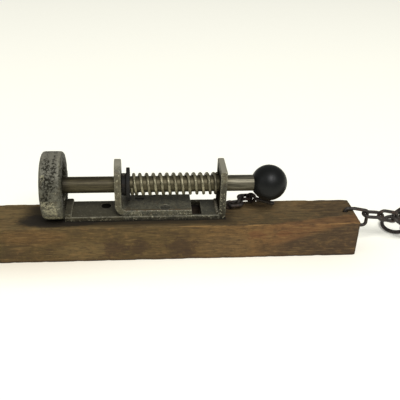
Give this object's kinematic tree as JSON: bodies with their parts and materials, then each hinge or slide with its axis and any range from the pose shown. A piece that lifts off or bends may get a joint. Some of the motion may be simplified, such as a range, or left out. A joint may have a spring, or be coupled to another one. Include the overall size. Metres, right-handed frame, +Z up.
{
  "type": "spring plunger trap",
  "caption": "Spring-driven plunger trap on a timber beam: a ball-ended rod strikes a thick iron disc, with a keeper pin on a chain and an anchor chain with a ring.",
  "frame": {"origin": "centre of the timber beam's underside", "axes": "+X along the beam towards the ball knob and the anchor chain, +Y to the back, where the keeper chain lies, +Z up"},
  "size_m": [0.5579, 0.0826, 0.1035],
  "materials": {
    "weathered_timber": "weathered and rough",
    "worn_bar_steel": "dull, worn",
    "weld_bead": "rippled",
    "pitted_iron": "pitted",
    "rod_steel": "dull, bright at the knob's end",
    "black_knob": "satin black",
    "dark_iron": "dark",
    "spring_steel": "dull",
    "screw_steel": "dark",
    "chain_iron": "dark, lightly rusted"
  },
  "bodies": {
    "base": {"timber_beam": "weathered_timber", "base_plate": "worn_bar_steel", "anvil_disc": "pitted_iron", "anvil_stop_bar": "worn_bar_steel", "front_bracket": "worn_bar_steel", "rear_bracket": "worn_bar_steel", "rear_bracket_weld": "weld_bead", "wood_screws": "screw_steel", "screw_eye": "chain_iron", "anchor_loop": "chain_iron", "compression_spring": "spring_steel"},
    "washer": {"spring_washer": "dark_iron"},
    "plunger": {"plunger_rod": "rod_steel", "ball_knob": "black_knob", "stop_collar": "dark_iron", "collar_pin": "dark_iron"},
    "keeper_link_1": {"keeper_link_1": "chain_iron"},
    "keeper_link_2": {"keeper_link_2": "chain_iron"},
    "keeper_link_3": {"keeper_link_3": "chain_iron"},
    "keeper_pin": {"keeper_pin": "chain_iron"},
    "chain_link_1": {"chain_link_1": "chain_iron"},
    "chain_link_2": {"chain_link_2": "chain_iron"},
    "chain_link_3": {"chain_link_3": "chain_iron"},
    "chain_link_4": {"chain_link_4": "chain_iron"},
    "chain_link_5": {"chain_link_5": "chain_iron"},
    "chain_link_6": {"chain_link_6": "chain_iron"},
    "chain_link_7": {"chain_link_7": "chain_iron"},
    "chain_link_8": {"chain_link_8": "chain_iron"},
    "chain_link_9": {"chain_link_9": "chain_iron"},
    "chain_link_10": {"chain_link_10": "chain_iron"},
    "end_ring": {"end_ring": "chain_iron"}
  },
  "joints": [
    {"name": "plunger_slide", "type": "slide", "parent": "base", "child": "washer", "axis": [1, 0, 0], "range_m": [0, 0.04], "stiffness_N_per_m": 5400, "springref_m": -0.01, "deforming": ["compression_spring"]},
    {"name": "plunger_spin", "type": "hinge", "parent": "washer", "child": "plunger", "pos_m": [0, 0.0045, 0.071], "axis": [1, 0, 0], "continuous": true},
    {"name": "keeper_turn_1", "type": "hinge", "parent": "base", "child": "keeper_link_1", "pos_m": [0.1003, 0.0076, 0.0449], "axis": [0, 0, 1], "range_deg": [-25, 12]},
    {"name": "keeper_turn_2", "type": "hinge", "parent": "keeper_link_1", "child": "keeper_link_2", "pos_m": [0.10578, 0.00876, 0.0449], "axis": [0, 0, 1], "range_deg": [-12, 20]},
    {"name": "keeper_turn_3", "type": "hinge", "parent": "keeper_link_2", "child": "keeper_link_3", "pos_m": [0.11174, 0.02099, 0.0449], "axis": [0, 0, 1], "range_deg": [-14, 16]},
    {"name": "keeper_pin_turn", "type": "hinge", "parent": "keeper_link_3", "child": "keeper_pin", "pos_m": [0.11734, 0.02138, 0.04522], "axis": [0.0788, 0.0055, 0.9969], "range_deg": [-25, 14]},
    {"name": "chain_turn_1", "type": "hinge", "parent": "base", "child": "chain_link_1", "pos_m": [0.24, 0, 0.0347], "axis": [0, 0, 1], "range_deg": [-25, 20]},
    {"name": "chain_turn_2", "type": "hinge", "parent": "chain_link_1", "child": "chain_link_2", "pos_m": [0.25271, 0.00022, 0.03372], "axis": [0.2079, 0.0036, 0.9781], "range_deg": [-10, 10]},
    {"name": "chain_turn_3", "type": "hinge", "parent": "chain_link_2", "child": "chain_link_3", "pos_m": [0.27275, 0.00092, 0.02946], "axis": [-0.2079, -0.0036, -0.9781], "range_deg": [-10, 10]},
    {"name": "chain_lift_4", "type": "hinge", "parent": "chain_link_3", "child": "chain_link_4", "pos_m": [0.28529, 0.00137, 0.01794], "axis": [-0.0325, 0.9995, 0.0032], "range_deg": [-14, 0]},
    {"name": "chain_lift_5", "type": "hinge", "parent": "chain_link_4", "child": "chain_link_5", "pos_m": [0.29356, 0.00125, 0.00826], "axis": [-0.0986, 0.9918, 0.0808], "range_deg": [-10, 0]},
    {"name": "chain_turn_6", "type": "hinge", "parent": "chain_link_5", "child": "chain_link_6", "pos_m": [0.31003, 0.00298, 0.00708], "axis": [0.0714, -0.0739, 0.9947], "range_deg": [-25, 8]},
    {"name": "chain_turn_7", "type": "hinge", "parent": "chain_link_6", "child": "chain_link_7", "pos_m": [0.32478, 0.01722, 0.00708], "axis": [-0.0714, 0.0739, -0.9947], "range_deg": [-8, 25]},
    {"name": "chain_turn_8", "type": "hinge", "parent": "chain_link_7", "child": "chain_link_8", "pos_m": [0.32611, 0.02987, 0.00711], "axis": [0.0859, 0.0648, 0.9942], "range_deg": [-25, 8]},
    {"name": "chain_turn_9", "type": "hinge", "parent": "chain_link_8", "child": "chain_link_9", "pos_m": [0.31377, 0.04625, 0.00711], "axis": [-0.0859, -0.0648, -0.9942], "range_deg": [-8, 25]},
    {"name": "chain_turn_10", "type": "hinge", "parent": "chain_link_9", "child": "chain_link_10", "pos_m": [0.30114, 0.0478, 0.00712], "axis": [-0.0704, 0.0839, 0.994], "range_deg": [-25, 8]},
    {"name": "end_ring_turn", "type": "hinge", "parent": "chain_link_10", "child": "end_ring", "pos_m": [0.28544, 0.03462, 0.00712], "axis": [0.0704, -0.0839, -0.994], "range_deg": [-8, 30]}
  ]
}
